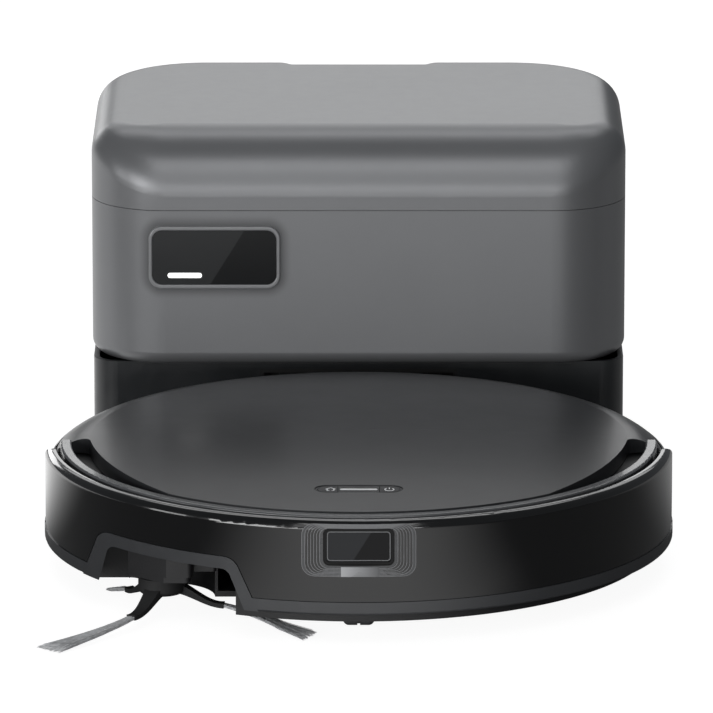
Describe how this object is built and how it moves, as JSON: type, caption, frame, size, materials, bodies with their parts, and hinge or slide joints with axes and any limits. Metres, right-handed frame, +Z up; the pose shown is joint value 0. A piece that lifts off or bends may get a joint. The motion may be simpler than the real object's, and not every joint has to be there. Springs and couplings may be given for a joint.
{
  "type": "robot vacuum",
  "caption": "Round low robot vacuum docked on a self-emptying station: lift-off cover, sprung bumper, side brush, drive wheels, hinged station lid, dust bag.",
  "frame": {"origin": "centre of the footprint of robot and station together, at floor level", "axes": "+Z up; the robot's front faces -Y and the station stands behind it at +Y; +X is to the right seen from the front"},
  "size_m": [0.326, 0.546, 0.1922],
  "materials": {
    "station_grey": "satin moulded plastic",
    "column_dark": "satin dark grey",
    "bay_black": "matt black",
    "cover_black": "gloss black, faint brushed grain",
    "bumper_black": "high gloss",
    "skirt_grey": "satin dark grey",
    "ring_grey": "semi-gloss",
    "chassis_black": "fine spark-eroded texture",
    "rubber_black": "matt",
    "tyre_black": "matt",
    "hub_grey": "satin",
    "bristle_grey": "nylon strands",
    "glass_black": "polished",
    "light_white": "lit light guide",
    "contact_metal": "satin",
    "steel": "satin",
    "bag_cloth": "non-woven cloth",
    "card": "pressed card",
    "filter_cloth": "pleated paper",
    "board_green": "solder mask",
    "motor_grey": "satin",
    "battery_wrap": "shrink wrap",
    "smoke_clear": "smoked"
  },
  "bodies": {
    "station": {"station_housing": "station_grey", "lower_column": "column_dark", "dock_bay": "bay_black", "base_plate": "column_dark", "rubber_feet": "rubber_black", "station_screws": "steel", "badge_frame": "bumper_black", "badge_glass": "glass_black", "badge_light": "light_white", "suction_gasket": "rubber_black", "suction_duct": "chassis_black", "bag_collar": "card", "dust_bag": "bag_cloth", "suction_motor": "motor_grey", "exhaust_filter": "filter_cloth", "power_board": "board_green", "power_inlet": "bay_black"},
    "lid": {"station_lid": "station_grey"},
    "contact_left": {"contact_left": "contact_metal"},
    "contact_right": {"contact_right": "contact_metal"},
    "robot": {"chassis": "chassis_black", "brush_housing": "chassis_black", "evacuation_duct": "chassis_black", "chassis_screws": "steel", "cliff_sensors": "smoke_clear", "rear_shell": "bumper_black", "rear_skirt": "skirt_grey", "charge_pads": "contact_metal", "deck": "chassis_black", "ring_band": "ring_grey", "button_bezel": "bumper_black", "side_brush_gearbox": "chassis_black", "brush_guard": "skirt_grey", "fan_motor": "motor_grey", "brush_motor": "motor_grey", "battery": "battery_wrap", "main_board": "board_green", "laser_module": "bay_black"},
    "bumper": {"bumper": "bumper_black", "bumper_skirt": "skirt_grey", "sensor_bezel": "bumper_black", "sensor_window": "glass_black"},
    "cover": {"top_cover": "cover_black"},
    "dust_box": {"dust_box": "smoke_clear", "dust_box_lid": "chassis_black", "dust_filter": "filter_cloth"},
    "button_home": {"button_home": "bumper_black"},
    "button_power": {"button_power": "bumper_black"},
    "left_arm": {"left_wheel_arm": "chassis_black"},
    "left_wheel": {"left_wheel_hub": "hub_grey", "left_tyre": "tyre_black"},
    "right_arm": {"right_wheel_arm": "chassis_black"},
    "right_wheel": {"right_wheel_hub": "hub_grey", "right_tyre": "tyre_black"},
    "caster": {"caster_fork": "chassis_black"},
    "caster_wheel": {"caster_wheel": "hub_grey"},
    "side_brush": {"side_brush_hub": "rubber_black", "side_brush_bristles": "bristle_grey"},
    "main_brush": {"main_brush_core": "hub_grey", "main_brush_bristles": "bristle_grey"}
  },
  "joints": [
    {"name": "robot_undock", "type": "slide", "parent": "station", "child": "robot", "axis": [0, -1, 0], "range_m": [0, 0.35]},
    {"name": "bumper_travel", "type": "slide", "parent": "robot", "child": "bumper", "axis": [0, 1, 0], "range_m": [0, 0.0025], "stiffness_N_per_m": 400, "springref_m": -0.002},
    {"name": "cover_lift", "type": "slide", "parent": "robot", "child": "cover", "axis": [0, 0, 1], "range_m": [0, 0.12]},
    {"name": "dust_box_lift", "type": "slide", "parent": "robot", "child": "dust_box", "axis": [0, 0, 1], "range_m": [0, 0.06]},
    {"name": "home_press", "type": "slide", "parent": "robot", "child": "button_home", "axis": [0, 0, -1], "range_m": [0, 0.0008], "stiffness_N_per_m": 1200, "springref_m": -0.0004},
    {"name": "power_press", "type": "slide", "parent": "robot", "child": "button_power", "axis": [0, 0, -1], "range_m": [0, 0.0008], "stiffness_N_per_m": 1200, "springref_m": -0.0004},
    {"name": "left_suspension", "type": "hinge", "parent": "robot", "child": "left_arm", "pos_m": [-0.102, -0.14032, 0.032], "axis": [-1, 0, 0], "range_deg": [0, 25]},
    {"name": "left_wheel_spin", "type": "hinge", "parent": "left_arm", "child": "left_wheel", "pos_m": [-0.12, -0.09632, 0.027], "axis": [1, 0, 0], "continuous": true},
    {"name": "right_suspension", "type": "hinge", "parent": "robot", "child": "right_arm", "pos_m": [0.102, -0.14032, 0.032], "axis": [-1, 0, 0], "range_deg": [0, 25]},
    {"name": "right_wheel_spin", "type": "hinge", "parent": "right_arm", "child": "right_wheel", "pos_m": [0.12, -0.09632, 0.027], "axis": [1, 0, 0], "continuous": true},
    {"name": "caster_swivel", "type": "hinge", "parent": "robot", "child": "caster", "pos_m": [0, -0.21832, 0.02], "axis": [0, 0, 1], "continuous": true},
    {"name": "caster_roll", "type": "hinge", "parent": "caster", "child": "caster_wheel", "pos_m": [0, -0.21432, 0.015], "axis": [1, 0, 0], "continuous": true},
    {"name": "side_brush_spin", "type": "hinge", "parent": "robot", "child": "side_brush", "pos_m": [-0.1, -0.20232, 0.018], "axis": [0, 0, 1], "continuous": true},
    {"name": "main_brush_spin", "type": "hinge", "parent": "robot", "child": "main_brush", "pos_m": [0, -0.06532, 0.021], "axis": [1, 0, 0], "continuous": true},
    {"name": "lid_hinge", "type": "hinge", "parent": "station", "child": "lid", "pos_m": [0, 0.26998, 0.1515], "axis": [-1, 0, 0], "range_deg": [0, 80]},
    {"name": "contact_left_press", "type": "slide", "parent": "station", "child": "contact_left", "axis": [0, 1, 0], "range_m": [0, 0.0025], "stiffness_N_per_m": 300, "springref_m": -0.0015},
    {"name": "contact_right_press", "type": "slide", "parent": "station", "child": "contact_right", "axis": [0, 1, 0], "range_m": [0, 0.0025], "stiffness_N_per_m": 300, "springref_m": -0.0015}
  ],
  "couplings": [
    {"joint": "dust_box_lift", "follows": "cover_lift", "ratio": 0.5}
  ]
}
